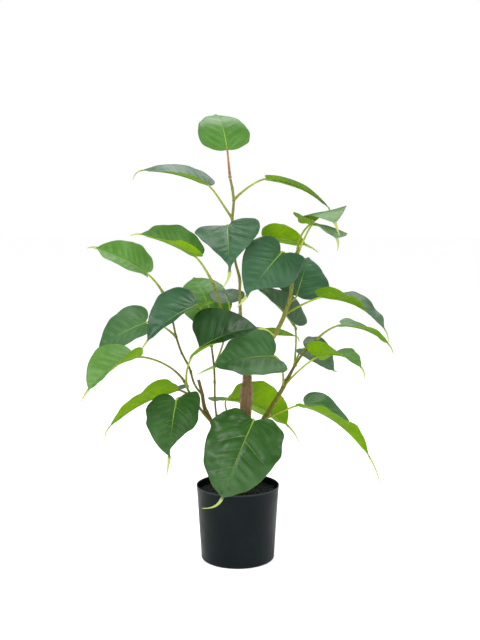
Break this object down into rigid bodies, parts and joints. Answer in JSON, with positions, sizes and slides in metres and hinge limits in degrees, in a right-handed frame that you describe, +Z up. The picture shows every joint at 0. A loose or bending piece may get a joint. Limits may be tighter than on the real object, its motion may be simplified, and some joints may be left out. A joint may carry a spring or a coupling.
{
  "type": "potted sacred fig",
  "caption": "Small sacred fig tree with heart-shaped, long-tipped leaves on thin branches, in a round black plastic nursery pot.",
  "frame": {"origin": "centre of the pot's flat base, on the surface that it stands on", "axes": "+Z up along the pot's axis, -Y towards the front that shows the large lowest leaf, +X to the right seen from the front"},
  "size_m": [0.4503, 0.2214, 0.6556],
  "materials": {
    "pot_plastic": "charcoal black moulded plastic, half matte, with a slightly polished rim",
    "soil": "near-black peat and bark compost, coarse and matte",
    "bark": "grey-brown bark, matte, with rows of small dark pores",
    "twig": "olive-brown young bark, half matte",
    "leaf": "mid to dark green upper side with a soft sheen and pale yellow-green veins, bright yellow-green underside"
  },
  "bodies": {
    "root": {"pot": "pot_plastic", "soil": "soil", "trunk": "bark", "leader": "twig", "branch_left_inner": "twig", "branch_right_inner": "twig", "branch_right_lower": "twig", "branch_left_cut": "twig", "branch_left_lower": "twig", "twig_left": "twig", "stem_upright": "twig", "leaf_top": "leaf", "leaf_upper_left": "leaf", "leaf_upper_right": "leaf", "leaf_centre_upper": "leaf", "leaf_centre_heart": "leaf", "leaf_left_high": "leaf", "leaf_left_far_high": "leaf", "leaf_back_left": "leaf", "leaf_inner_small": "leaf", "leaf_left_inner": "leaf", "leaf_left_back": "leaf", "leaf_left_far": "leaf", "leaf_centre_mid": "leaf", "leaf_centre_low": "leaf", "leaf_front_large": "leaf", "leaf_left_low_front": "leaf", "leaf_left_low": "leaf", "leaf_right_low": "leaf", "leaf_back_low": "leaf", "leaf_right_top": "leaf", "leaf_right_top_low": "leaf", "leaf_back_upper": "leaf", "leaf_right_inner": "leaf", "leaf_right_high": "leaf", "leaf_right_mid": "leaf", "leaf_right_low_mid": "leaf", "leaf_right_low_back": "leaf", "leaf_inner_upright": "leaf", "leaf_back_mid": "leaf"}
  },
  "joints": []
}
